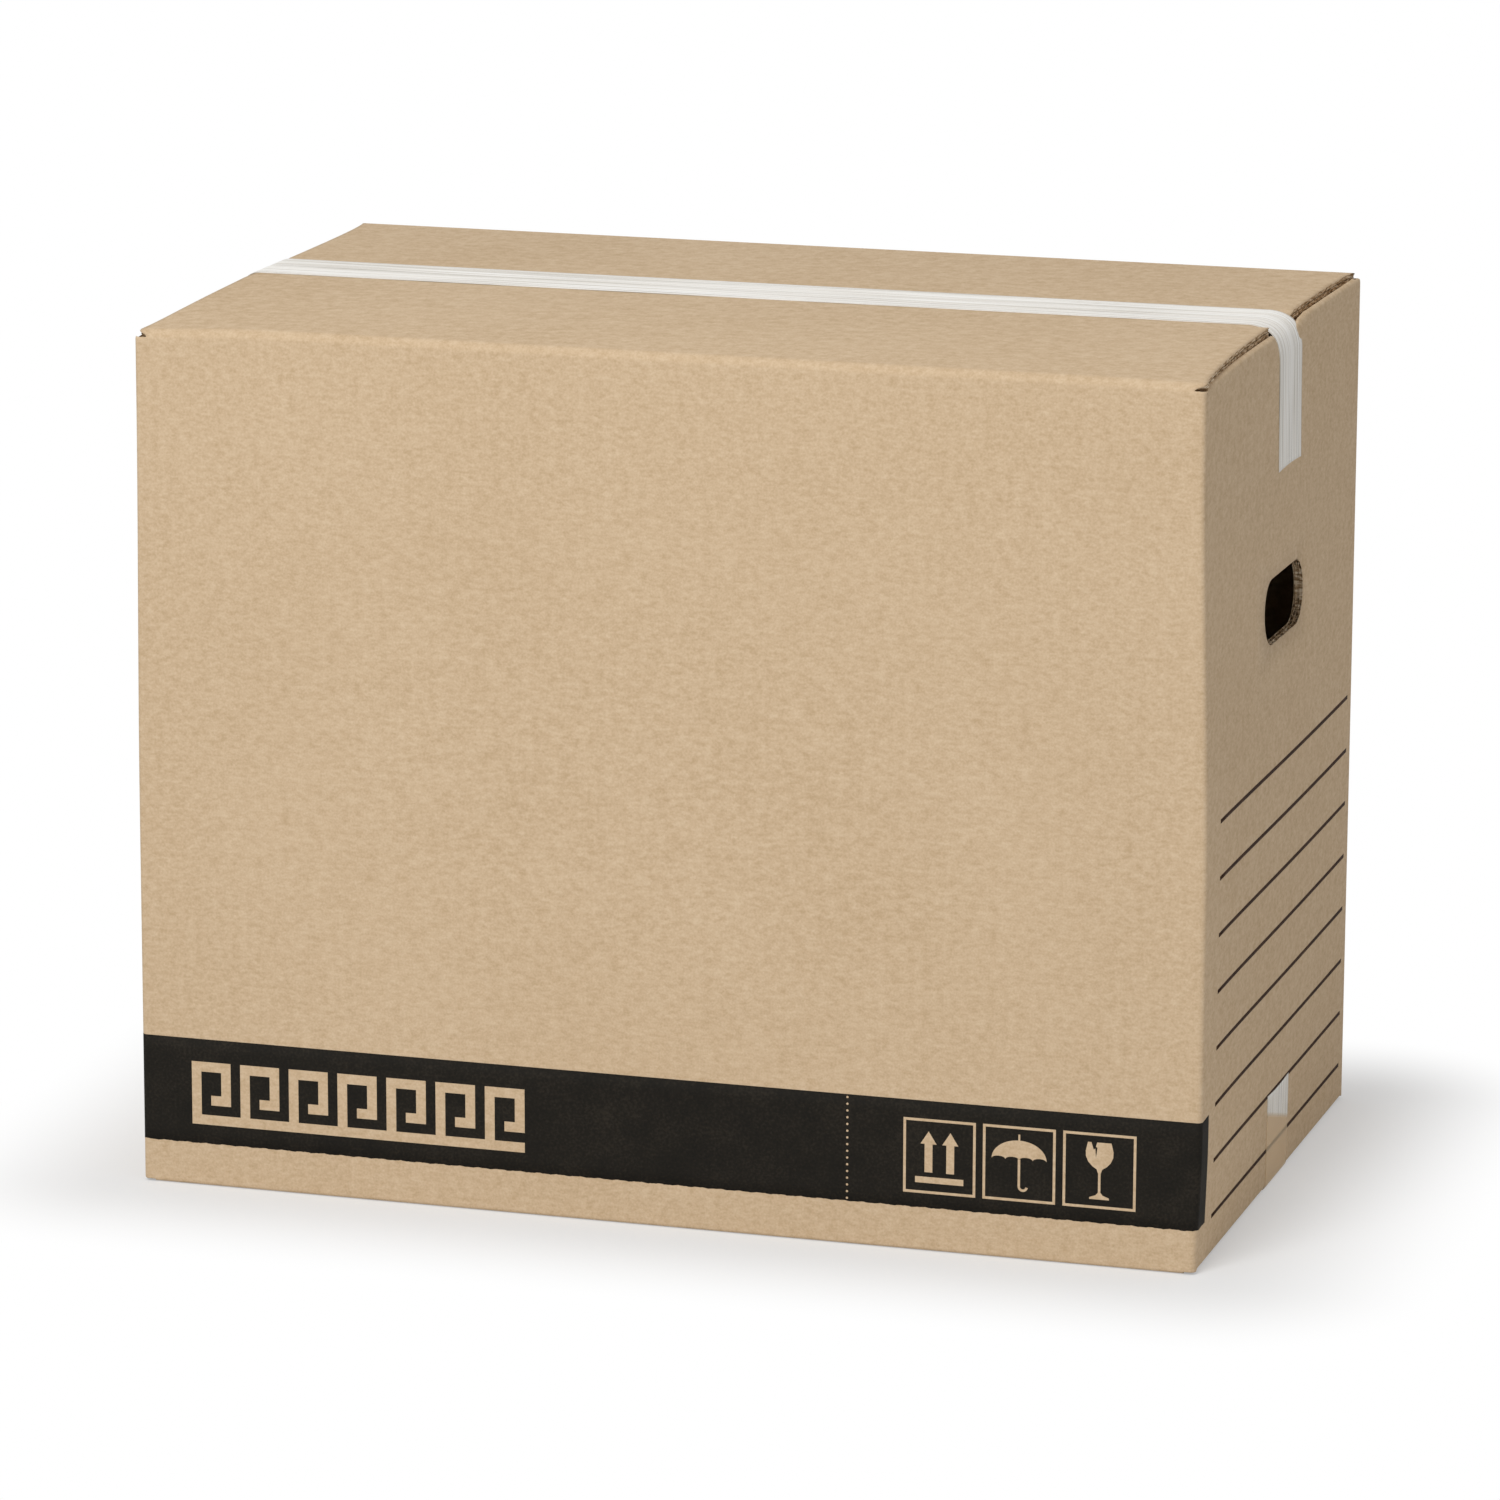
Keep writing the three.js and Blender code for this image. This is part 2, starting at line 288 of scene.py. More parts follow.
def crush(place, depth, end, behind, over):
    """Presses the board under the top tape. The long flaps get thinner down to the tape, the ridge of the
    end panel is lowered and pushed in behind the tape, and the flaps' side edges flare out towards the
    corners, by a third and a fourteenth power of the distance from the seam."""
    x, y, z = place.T
    taped = taped_share(y)
    inner = np.clip(depth / BOARD, 0, 1)
    reach = ease((np.abs(x) - HALF_LENGTH + FLARE_SPAN + BOARD) / FLARE_SPAN)
    side = np.abs(y / HALF_WIDTH)
    turned = ease((over - FLARE_START) / FLARE_BLEND)
    flare = turned * np.sign(x) * reach * (EDGE_FLARE * side**3 + CORNER_FLARE * side**14)
    tape_height = np.where(x > 0, np.interp(-x, -right_x, right_z), np.interp(x, -left_x, left_z))
    press = over * taped * (HEIGHT - tape_height + 2 * TAPE_OFF) * (1 - inner)
    top = ease((z - PRESS_FROM) / PRESS_SPAN) * (1 - behind)
    pressed = taped * np.where(x > 0, RIDGE_PRESS, LEFT_RIDGE_SHARE * RIDGE_PRESS)
    far = FAR_RIDGE * ease((y + FAR_RIDGE_FROM) / FAR_RIDGE_SPAN) * (1 - taped)
    rise = top * (far - pressed)
    behind_tape = (np.interp(z + rise, right_z, right_x), np.interp(z + rise, left_z, left_x))
    limit = np.where(x > 0, *behind_tape) - TAPE_OFF - CRUSHED_BOARD * inner
    push = np.where(z > PRESS_FROM, taped * np.maximum(np.abs(x) - limit, 0), 0)
    new_x = np.where(end, x - np.sign(x) * push, x + flare)
    return np.stack([new_x, y, np.where(end, z + rise, z - press)], -1)


def settle(place, over=0.0):
    """Moves folded points as a real box has settled. A wall bellies by sines of its height and its run,
    the ends lean, and the top's front edge sinks in the middle and at its two pressed corners."""
    x, y, z = place.T
    tall = np.sin(np.pi * np.clip(z / HEIGHT, 0, 1)) ** 1.2
    along_x = np.cos(QUARTER * np.clip(x / HALF_LENGTH, -1, 1)) ** 0.7
    along_y = np.cos(QUARTER * np.clip(y / HALF_WIDTH, -1, 1)) ** 0.7
    near_end = ease((np.abs(x) - HALF_LENGTH + NEAR_END) / END_BLEND)
    near_side = ease((np.abs(y) - HALF_WIDTH + NEAR_SIDE) / SIDE_BLEND)
    pulled = LEFT_IN * ease((z - LEAN_IN_FROM) / LEAN_IN_SPAN) * np.clip(-y / HALF_WIDTH, 0, 1)
    leaning = near_end * np.where(x > 0, (1 - over) * lean(y, z), pulled)
    new_x = x + np.sign(x) * near_end * WALL_BELLY * tall * along_y + leaning
    new_y = y + np.sign(y) * near_side * WALL_BELLY * tall * along_x
    front = np.clip((-y - FRONT_FROM) / (HALF_WIDTH - FRONT_FROM), 0, 1)
    left = np.clip((-x - HALF_LENGTH + LEFT_PRESS_SPAN) / LEFT_PRESS_SPAN, 0, 1) ** 1.3
    right = np.clip((x - HALF_LENGTH + RIGHT_PRESS_SPAN) / RIGHT_PRESS_SPAN, 0, 1) ** 1.3
    sink = CORNER_PRESS * (front * left + RIGHT_PRESS_SHARE * front**2.5 * right)
    sink = sink + FRONT_DROOP * np.clip((-y - DROOP_FROM) / (HALF_WIDTH - DROOP_FROM), 0, 1) ** 2
    new_z = z - ease((z - HEIGHT + NEAR_TOP) / TOP_BLEND) * sink
    return np.stack([new_x, new_y, new_z + BASE], -1)


def folded(across, up, depth):
    """Folded, pressed and settled place of points of the blank, in the frame."""
    across, up, depth = (np.asarray(v, float).ravel() for v in np.broadcast_arrays(across, up, depth))
    place, end, behind, over = fold(across, up, depth)
    loose = np.where(end, 0, over * (1 - taped_share(place[:, 1])))
    return settle(crush(place, depth, end, behind, over), loose)


# %% [markdown]
# ## The flat blank
# The blank is made of rectangles of small cells: the strip of walls, and eight flaps that share a row of
# points with it. The lines between the cells lie close together where the board bends and where a cut
# edge is seen. A hand hole takes out a block of cells, and a band of triangles joins that block's outline
# to the rounded hole.

# %% Cell lines
def lines(*spans):
    """Rising positions: each span is (from, to, number of cells)."""
    return np.unique(np.concatenate([np.linspace(a, b, n + 1) for a, b, n in spans]).round(7))


PATCH_HALF_WIDTH, PATCH_HALF_HEIGHT = 62 * MM, 34 * MM
TOP_MARGIN = TOP_INSET - CORNER_RADIUS
LOW_MARGIN = BOTTOM_INSET - CORNER_RADIUS
END_MARGIN = BOARD + SLOT_CLEARANCE - CORNER_RADIUS
TAB_MARGIN = 2 * MM
BESIDE_CORNER, BESIDE_CELLS = 18 * MM, 6
PANEL_CELLS, PATCH_CELLS = 34, 12


def panel_lines(start, end, near, far, middle=None):
    """Lines of a panel: close together beside its corners, with the margins as lines of their own. Where
    it has a hand hole, the lines also meet the sides of the block that the hole takes out."""
    spans = [(start, start + m, 2) for m in near] + [(end - m, end, 2) for m in far]
    first, last = start + max(near), end - max(far)
    inner_first, inner_last = first + BESIDE_CORNER, last - BESIDE_CORNER
    spans += [(first, inner_first, BESIDE_CELLS), (inner_last, last, BESIDE_CELLS)]
    if middle is None:
        spans.append((inner_first, inner_last, PANEL_CELLS))
    else:
        patch_first, patch_last = middle - PATCH_HALF_WIDTH, middle + PATCH_HALF_WIDTH
        spans += [
            (inner_first, patch_first, BESIDE_CELLS),
            (patch_first, patch_last, PATCH_CELLS),
            (patch_last, inner_last, BESIDE_CELLS),
        ]
    return lines(*spans)


CORNER_CELLS = 8
TAB_BEND = TAB_END - 10 * MM
margins = (TOP_MARGIN, LOW_MARGIN)
back_end = BACK_START + front_length
wall_across = np.unique(np.concatenate([
    lines((0, TAB_BEND, 3), (TAB_BEND, TAB_END, 5), *((a, b, CORNER_CELLS) for a, b in CORNERS)),
    panel_lines(LEFT_START, LEFT_END, (TAB_MARGIN,), (END_MARGIN,), left_middle),
    panel_lines(FRONT_START, FRONT_END, margins, margins),
    panel_lines(RIGHT_START, RIGHT_END, (END_MARGIN,), (END_MARGIN,), right_middle),
    panel_lines(BACK_START, back_end, margins, margins),
    lines((back_end, BACK_END, 2)),
]))
NEAR_SCORE = 28 * MM
patch_low, patch_high = HOLE_UP - PATCH_HALF_HEIGHT, HOLE_UP + PATCH_HALF_HEIGHT
wall_up = lines(
    (WALL_LOW, LONG_RADIUS, 8), (LONG_RADIUS, NEAR_SCORE, 10), (NEAR_SCORE, patch_low, 16),
    (patch_low, patch_high, 8), (patch_high, HEIGHT - NEAR_SCORE, 8),
    (HEIGHT - NEAR_SCORE, HEIGHT - LONG_RADIUS, 10), (HEIGHT - LONG_RADIUS, WALL_TOP, 5),
)
print("wall strip", len(wall_across), "x", len(wall_up), "lines")

# %% Cells of the walls and the flaps
FOLD_CELLS = 8
BESIDE_FOLD, BESIDE_FOLD_CELLS = 24 * MM, 16
FINE_STEP, MIDDLE_STEP, COARSE_STEP = 1.6 * MM, 4 * MM, 8 * MM


def block(across, up):
    """Corner points and cells of a rectangle of the blank: cell (i, j) joins the four points round it."""
    u, v = np.meshgrid(across, up, indexing="ij")
    index = np.arange(u.size).reshape(u.shape)
    cells = np.stack([index[:-1, :-1], index[1:, :-1], index[1:, 1:], index[:-1, 1:]], -1).reshape(-1, 4)
    return np.stack([u.ravel(), v.ravel()], -1), cells


def flap_block(first, last, end, at_top, step):
    """A flap between two lines of the wall strip, from the walls' end over its fold to its cut edge."""
    chosen = wall_across[(wall_across > first - SAME) & (wall_across < last + SAME)]
    radius = END_RADIUS if end else LONG_RADIUS if at_top else LOW_RADIUS
    drop = (RIDGE_DROP if at_top else LOW_RIDGE_DROP) if end else 0
    flat = radius + drop - radius * QUARTER
    reach = flat - (FLAP_REACH - radius)
    beside = flat - BESIDE_FOLD
    wall_end = HEIGHT - WALL_TOP if at_top else WALL_LOW
    up = lines(
        (reach, beside, int((beside - reach) / step)),
        (beside, flat, BESIDE_FOLD_CELLS), (flat, wall_end, FOLD_CELLS),
    )
    return block(chosen, np.sort((HEIGHT - up).round(7)) if at_top else up)


def outside_patch(points, cells, middle):
    """Leaves out the cells round a hand hole."""
    aside, above = np.abs(points[cells].mean(1) - [middle, HOLE_UP]).T
    return cells[(aside >= PATCH_HALF_WIDTH) | (above >= PATCH_HALF_HEIGHT)]


wall_points, wall_cells = block(wall_across, wall_up)
for middle in (left_middle, right_middle):
    wall_cells = outside_patch(wall_points, wall_cells, middle)
blocks = [(wall_points, wall_cells)]
for at_top, margin, step in ((True, TOP_MARGIN, FINE_STEP), (False, LOW_MARGIN, MIDDLE_STEP)):
    blocks += [
        flap_block(LEFT_START + TAB_MARGIN, LEFT_END - END_MARGIN, True, at_top, COARSE_STEP),
        flap_block(FRONT_START + margin, FRONT_END - margin, False, at_top, step),
        flap_block(RIGHT_START + END_MARGIN, RIGHT_END - END_MARGIN, True, at_top, COARSE_STEP),
        flap_block(BACK_START + margin, back_end - margin, False, at_top, step),
    ]

# %% Rounded hole and the band of triangles round it
EDGE_STEP = 1.1 * MM


def rounded_loop(middle, half_width, half_height, radius):
    """Anticlockwise loop of a rounded rectangle with evenly spaced stations, walked from the middle of its
    right side as straight runs and quarter arcs."""
    side, floor_run = 2 * (half_height - radius), 2 * (half_width - radius)
    arc = (radius * QUARTER, QUARTER)
    loop = walk(
        (middle[0] + half_width, middle[1]), QUARTER,
        [(side / 2, 0), arc, (floor_run, 0), arc, (side, 0), arc, (floor_run, 0), arc, (side / 2, 0)],
    )
    total = loop["distance"][-1]
    stations = np.linspace(0, total, int(total / EDGE_STEP), endpoint=False)
    x, y, _ = along(loop, stations)
    return np.stack([x, y], -1)


def turn_of(points, middle):
    """Angle of each point seen from the middle, from 0 to a full turn."""
    return np.arctan2(points[:, 1] - middle[1], points[:, 0] - middle[0]) % (2 * np.pi)


def band(inner, outer, middle):
    """Triangles between two loops. All points are passed in the order of their angle about the middle:
    each closes a triangle with the point before it on its own loop and the latest one of the other."""
    inner = inner[np.argsort(turn_of(inner, middle))]
    outer = outer[np.argsort(turn_of(outer, middle))]
    inner_turn, outer_turn = turn_of(inner, middle), turn_of(outer, middle)
    n, m = len(inner), len(outer)
    i, j = np.arange(n), np.arange(m)
    latest_outer = (np.searchsorted(outer_turn, inner_turn, side="left") - 1) % m
    latest_inner = (np.searchsorted(inner_turn, outer_turn, side="right") - 1) % n
    from_inner = np.stack([(i - 1) % n, n + latest_outer, i], -1)
    from_outer = np.stack([n + (j - 1) % m, n + j, latest_inner], -1)
    return np.concatenate([inner, outer]), np.concatenate([from_inner, from_outer])


def patch_outline(middle):
    """Points of the wall's lines on the outline of the block of cells that the hole takes out."""
    beyond = np.abs(wall_points - middle) - [PATCH_HALF_WIDTH, PATCH_HALF_HEIGHT]
    return wall_points[np.abs(beyond.max(1)) < SAME]


hole_middles = [np.array([m, HOLE_UP]) for m in (left_middle, right_middle)]
hole_bands = []
for middle in hole_middles:
    loop = rounded_loop(middle, HOLE_WIDTH / 2, HOLE_HEIGHT / 2, HOLE_CORNER)
    hole_bands.append(band(loop, patch_outline(middle), middle))
print("stations round a hand hole:", len(loop))

# %% One blank from all the blocks
def weld(parts):
    """Joins blocks of the blank: points at one place become one point, which the cells then share."""
    offsets = np.cumsum([0] + [len(points) for points, _ in parts[:-1]])
    rounded = np.concatenate([points for points, _ in parts]).round(6)
    places, index = np.unique(rounded, axis=0, return_inverse=True)
    return places, [index.ravel()[cells + offset] for (_, cells), offset in zip(parts, offsets)]


def rim_of(*groups):
    """Edges that only one cell uses, each with its cell on its left."""
    pairs = [np.stack([cells, np.roll(cells, -1, 1)], -1).reshape(-1, 2) for cells in groups]
    edges = np.concatenate(pairs)
    _, first, count = np.unique(np.sort(edges, 1), axis=0, return_index=True, return_counts=True)
    return edges[first[count == 1]]


blank_points, groups = weld(blocks + hole_bands)
blank_quads = np.concatenate([g for g in groups if g.shape[1] == 4])
blank_triangles = np.concatenate([g for g in groups if g.shape[1] == 3])
rim = rim_of(blank_quads, blank_triangles)
print("blank:", len(blank_points), "points,", len(blank_quads), "cells,", len(rim), "rim edges")

# %% [markdown]
# ## Cut edges
# A cut edge of double-wall board shows three thin liners and, between them, two wavy sheets of fluted
# medium with dark hollows round them. Here the edge is a comb-shaped profile, carried round the whole rim
# of the blank: it steps in between the liners to the depth of the hollows and out again to the tip of
# each sheet. The place of a wavy sheet is a sine of `across`, so a cut across the flutes shows waves. A
# cut along the flutes shows lines that wander, because the knife has crushed the sheets there.

# %% Measures of a cut edge
HOLLOW = 3.5 * MM
CLOSED_HOLLOW = 0.5 * MM
SHUT_HOLLOW = 1.7 * MM
LEAST_HOLLOW = 0.03 * MM
HOLLOW_FALL = 0.8
SHARP_CORNER = 0.7
MIDDLE_LINER = 3.3 * MM
SECOND_LINER = MIDDLE_LINER + LINER
WAVE_ROOM = MIDDLE_LINER - LINER
SHEET_GAP = 0.02 * MM
SHEET, CRUSHED_SHEET = 0.4 * MM, 1.75 * MM
SHEET_PHASES = (0.4, 2.9)
SHEET_WANDER, WANDER_LENGTH = 1.6 * MM, 61 * MM
CRUSHED_PLACE, CRUSHED_WANDER, CRUSHED_LENGTH = 0.30, 0.12, 23 * MM
TIP_SHARE, TIP_LENGTH = 0.10, 9 * MM
RAGGED, RAGGED_LENGTH = 0.35 * MM, 13 * MM


def ripple(value, length, phase=0.0):
    """Uneven wave between about -1 and 1: a sum of three sines of unrelated lengths."""
    turns = 2 * np.pi * value / length + phase
    return 0.5 * np.sin(turns) + 0.3 * np.sin(2.3 * turns + 1.7) + 0.2 * np.sin(5.1 * turns + 0.6)


def unit(vectors):
    """Vectors of length 1."""
    return vectors / np.linalg.norm(vectors, axis=-1, keepdims=True)


# %% Profile of a cut edge
def cut_profile(points, rim):
    """Comb points of each rim point, as places on the blank and depths in the board. Inwards is the mean
    of the two edges' left-hand normals, and the hollow falls to almost nothing at a corner of the rim."""
    after = np.full(len(points), -1)
    after[rim[:, 0]] = rim[:, 1]
    before = np.full(len(points), -1)
    before[rim[:, 1]] = rim[:, 0]
    station = rim[:, 0]
    step_in = unit(points[station] - points[before[station]])
    step_out = unit(points[after[station]] - points[station])
    normal = unit((step_in + step_out) @ np.array([[0, 1], [-1, 0]]) + 1e-12)
    sharp = (step_in * step_out).sum(1) < SHARP_CORNER
    here = points[station]
    reach = np.linalg.norm(here[:, None] - here[sharp][None], axis=-1).min(1)
    low = here[:, 1] < WALL_LOW + SAME
    lengthwise = np.abs(normal[:, 0]) ** 4
    deepest = np.where(low, CLOSED_HOLLOW, HOLLOW + lengthwise * (SHUT_HOLLOW - HOLLOW))
    hollow = np.clip(HOLLOW_FALL * reach, LEAST_HOLLOW, deepest)
    sheets = []
    for layer, phase in enumerate(SHEET_PHASES):
        wander = SHEET_WANDER * ripple(here[:, 1], WANDER_LENGTH, phase) * lengthwise
        wave = 0.5 + 0.5 * np.sin(2 * np.pi * (here[:, 0] + wander) / FLUTE_PITCH + phase)
        crushed = CRUSHED_PLACE + CRUSHED_WANDER * ripple(here[:, 1], CRUSHED_LENGTH, phase + layer)
        thick = SHEET + CRUSHED_SHEET * lengthwise
        place = wave + lengthwise * (crushed - wave)
        top = LINER + layer * MIDDLE_LINER + SHEET_GAP + place * (WAVE_ROOM - thick - 2 * SHEET_GAP)
        tip = hollow * TIP_SHARE * (1 + lengthwise * (1 + ripple(here[:, 1], TIP_LENGTH, phase)))
        sheets.append((top, top + thick, tip))
    zero = np.zeros(len(station))
    ragged = RAGGED * lengthwise * (1 + ripple(here[:, 1], RAGGED_LENGTH)) * (hollow / HOLLOW)
    (a, a_end, a_tip), (b, b_end, b_tip) = sheets
    profile = [
        (zero, 0), (zero, LINER), (hollow, LINER),
        (hollow, a), (a_tip, a), (a_tip, a_end), (hollow, a_end), (hollow, MIDDLE_LINER),
        (ragged, MIDDLE_LINER), (ragged, SECOND_LINER), (hollow, SECOND_LINER),
        (hollow, b), (b_tip, b), (b_tip, b_end), (hollow, b_end),
        (hollow, BOARD - LINER), (zero, BOARD - LINER), (zero, BOARD),
    ]
    travel = np.stack([np.broadcast_to(t, zero.shape) for t, _ in profile], 1)
    depth = np.stack([np.broadcast_to(d, zero.shape) for _, d in profile], 1)
    return station, here[:, None] + travel[..., None] * normal[:, None], depth


# %% Closed shell from a blank
def shell(points, groups, rim, station, comb_places, comb_depth):
    """Outer cells, the same cells turned over on the inner side, and the rim's profile between them.
    Returns flat places, depths, and groups of faces, of which the last is the rim's."""
    count = len(points)
    between = comb_places[:, 1:-1]
    steps = comb_places.shape[1]
    flat = np.concatenate([points, points, between.reshape(-1, 2)])
    depth = np.concatenate(
        [np.full(count, comb_depth[0, 0]), np.full(count, comb_depth[0, -1]), comb_depth[:, 1:-1].ravel()]
    )
    order = np.full(count, -1)
    order[station] = np.arange(len(station))
    comb = np.empty((len(station), steps), int)
    comb[:, 0], comb[:, -1] = station, station + count
    comb[:, 1:-1] = 2 * count + np.arange(len(station) * (steps - 2)).reshape(len(station), -1)
    a, b = comb[order[rim[:, 0]]], comb[order[rim[:, 1]]]
    rim_faces = np.stack([b[:, :-1], a[:, :-1], a[:, 1:], b[:, 1:]], -1).reshape(-1, 4)
    faces = [*groups, *(g[:, ::-1] + count for g in groups), rim_faces]
    return flat, depth, faces


# %% Mesh builder
def put(name, places, face_groups, materials, uv, slots=None, smooth=None):
    """Makes a mesh object from arrays: face_groups are arrays of point numbers, one row a face."""
    mesh = bpy.data.meshes.new(name)
    sizes = np.concatenate([np.full(len(g), g.shape[1]) for g in face_groups])
    corners = np.concatenate([np.asarray(g).ravel() for g in face_groups])
    mesh.vertices.add(len(places))
    mesh.vertices.foreach_set("co", np.asarray(places, np.float32).ravel())
    mesh.loops.add(len(corners))
    mesh.loops.foreach_set("vertex_index", corners.astype(np.int32))
    mesh.polygons.add(len(sizes))
    starts = np.concatenate([[0], np.cumsum(sizes)[:-1]])
    mesh.polygons.foreach_set("loop_start", starts.astype(np.int32))
    for key, groups in (("material_index", slots), ("use_smooth", smooth)):
        if groups is not None:
            values = np.concatenate([np.full(len(g), value) for g, value in zip(face_groups, groups)])
            mesh.polygons.foreach_set(key, values)
    layer = mesh.uv_layers.new(name="blank")
    layer.data.foreach_set("uv", np.asarray(uv, np.float32)[corners].ravel())
    mesh.update(calc_edges=True)
    mesh.validate()
    for material in materials:
        mesh.materials.append(material)
    made = bpy.data.objects.new(name, mesh)
    bpy.context.scene.collection.objects.link(made)
    print(name, len(places), "points,", int((sizes - 2).sum()), "triangles")
    return made


# %% [markdown]
# ## Kraft board and its raw edge
# Kraft liner is unbleached paper: a warm brown with a fine grain, short fibres and faint clouds of lighter
# and darker pulp. The flutes behind it ripple the liner; the ripples are a bump, and also faint upright bars
# of painted shade in the colour. Grain, fibres and clouds are noise on Object coordinates, so they run on
# round every corner. The bars follow the blank's own UV map, because the flutes turn with the flaps.

# %% Node helpers
def srgb(red, green, blue):
    """Linear colour of an sRGB value given as 0 to 255."""
    value = np.array([red, green, blue]) / 255
    linear = np.where(value <= 0.04045, value / 12.92, ((value + 0.055) / 1.055) ** 2.4)
    return (*linear.tolist(), 1.0)


def new_material(name, roughness, specular=0.3):
    """Principled material, its node tree and its shader."""
    material = bpy.data.materials.new(name)
    material.use_nodes = True
    shader = material.node_tree.nodes["Principled BSDF"]
    shader.inputs["Roughness"].default_value = roughness
    shader.inputs["Specular IOR Level"].default_value = specular
    return material, material.node_tree, shader


def node(tree, kind, **inputs):
    """A node of one kind. Each keyword is a socket's name, or its number after an underscore, and the
    socket is set to a value or linked to another node's output."""
    made = tree.nodes.new(kind)
    for key, value in inputs.items():
        socket = made.inputs[int(key[1:])] if key[0] == "_" else made.inputs[key.replace("_", " ")]
        if isinstance(value, bpy.types.NodeSocket):
            tree.links.new(value, socket)
        else:
            socket.default_value = value
    return made


def maths(tree, operation, first, second=0.0):
    """Output of a Math node."""
    made = node(tree, "ShaderNodeMath", _0=first, _1=second)
    made.operation = operation
    return made.outputs[0]


def weighted(tree, first, *others):
    """Sum of outputs, each given as (output, weight)."""
    total = maths(tree, "MULTIPLY", *first)
    for output, weight in others:
        total = maths(tree, "ADD", total, maths(tree, "MULTIPLY", output, weight))
    return total


def noise(tree, vector, scale, detail=2.0, stretch=(1, 1, 1)):
    """Noise value about 0.5 on a vector that is first stretched."""
    placed = node(tree, "ShaderNodeMapping", Vector=vector, Scale=stretch)
    made = node(tree, "ShaderNodeTexNoise", Vector=placed.outputs[0], Scale=scale, Detail=detail)
    return made.outputs[0]


def ramp(tree, factor, *stops):
    """Colour ramp: each stop is (position, colour)."""
    made = node(tree, "ShaderNodeValToRGB", Fac=factor)
    elements = made.color_ramp.elements
    while len(elements) < len(stops):
        elements.new(0.5)
    for element, (position, colour) in zip(elements, stops):
        element.position = position
        element.color = colour
    return made.outputs[0]


def mixed(tree, factor, first, second):
    """Mix of two colours."""
    made = node(tree, "ShaderNodeMix")
    made.data_type = "RGBA"
    for index, value in ((0, factor), (6, first), (7, second)):
        if isinstance(value, bpy.types.NodeSocket):
            tree.links.new(value, made.inputs[index])
        else:
            made.inputs[index].default_value = value
    return made.outputs[2]


# %% Kraft liner
KRAFT = srgb(208, 182, 149)
KRAFT_DARK = srgb(195, 168, 133)
KRAFT_LIGHT = srgb(218, 194, 162)


CLOUD_SCALE, PULP_SCALE, FIBRE_SCALE, GRAIN_SCALE = 9, 130, 330, 900
PAPER_RELIEF = 0.5 * MM


def kraft_material(name, dark, middle, light):
    """Kraft paper from a dark, a middle and a light tone."""
    material, tree, shader = new_material(name, 0.86, 0.22)
    place = node(tree, "ShaderNodeTexCoord").outputs["Object"]
    clouds = noise(tree, place, CLOUD_SCALE)
    pulp = noise(tree, place, PULP_SCALE)
    grain = noise(tree, place, GRAIN_SCALE)
    fibres = noise(tree, place, FIBRE_SCALE, 3, stretch=(0.6, 0.6, 1.3))
    blank = node(tree, "ShaderNodeUVMap")
    blank.uv_map = "blank"
    across = node(tree, "ShaderNodeSeparateXYZ", Vector=blank.outputs[0]).outputs[0]
    flutes = maths(tree, "SINE", maths(tree, "MULTIPLY", across, 2 * np.pi / FLUTE_PITCH))
    # The flutes' small share of the tone is painted shade of the liner's ripples; the rest is the paper's
    # own grain, fibres and clouds.
    tone = weighted(tree, (clouds, 0.1), (pulp, 0.16), (grain, 0.34), (fibres, 0.4), (flutes, 0.006))
    colour = ramp(tree, tone, (0.36, dark), (0.5, middle), (0.64, light))
    tree.links.new(colour, shader.inputs["Base Color"])
    height = weighted(tree, (flutes, 0.1), (grain, 0.35))
    relief = node(tree, "ShaderNodeBump", Strength=0.35, Distance=PAPER_RELIEF, Height=height)
    tree.links.new(relief.outputs[0], shader.inputs["Normal"])
    return material


kraft = kraft_material("kraft liner", KRAFT_DARK, KRAFT, KRAFT_LIGHT)

# %% Raw edge
raw_edge, edge_tree, edge_shader = new_material("raw board edge", 0.95, 0.1)
edge_place = node(edge_tree, "ShaderNodeTexCoord").outputs["Object"]
edge_tone = noise(edge_tree, edge_place, 420, 3, stretch=(0.5, 0.35, 2.5))
edge_colour = ramp(
    edge_tree, edge_tone,
    (0.38, srgb(140, 112, 80)), (0.5, srgb(198, 169, 133)), (0.62, srgb(238, 218, 190)),
)
edge_tree.links.new(edge_colour, edge_shader.inputs["Base Color"])

# %% The carton
station, comb_places, comb_depth = cut_profile(blank_points, rim)
blank_cells = [blank_quads, blank_triangles]
flat, depth, faces = shell(blank_points, blank_cells, rim, station, comb_places, comb_depth)
carton = put(
    "carton_blank",
    folded(flat[:, 0], flat[:, 1], depth),
    faces,
    [kraft, raw_edge],
    uv=flat,
    slots=[0, 0, 0, 0, 1],
    smooth=[True, True, True, True, False],
)
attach(carton, "root")
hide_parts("carton")

# %% [markdown]
# ## Print
# The ink is a film a few hundredths of a millimetre thick, laid on the blank before it is folded. So each
# printed shape is drawn flat, in `across` and `up`, and goes through the same folding formula, a hair
# outside the board. Marks that the printer leaves bare in the dark band are films of bare kraft on it.

# %% Film helpers
INK_NEAR, INK_FAR = 0.02 * MM, 0.07 * MM
MARK_NEAR, MARK_FAR = 0.09 * MM, 0.13 * MM
BAND_RAGGED, BAND_RAGGED_LENGTH = 0.35 * MM, 11 * MM


def sheet_shell(points, cells, near, far):
    """Closed shell of one even thickness over cells, from depth near to depth far."""
    edge = rim_of(cells)
    places = np.repeat(points[edge[:, 0]][:, None], 2, 1)
    depths = np.tile([far, near], (len(edge), 1))
    return shell(points, [cells], edge, edge[:, 0], places, depths)


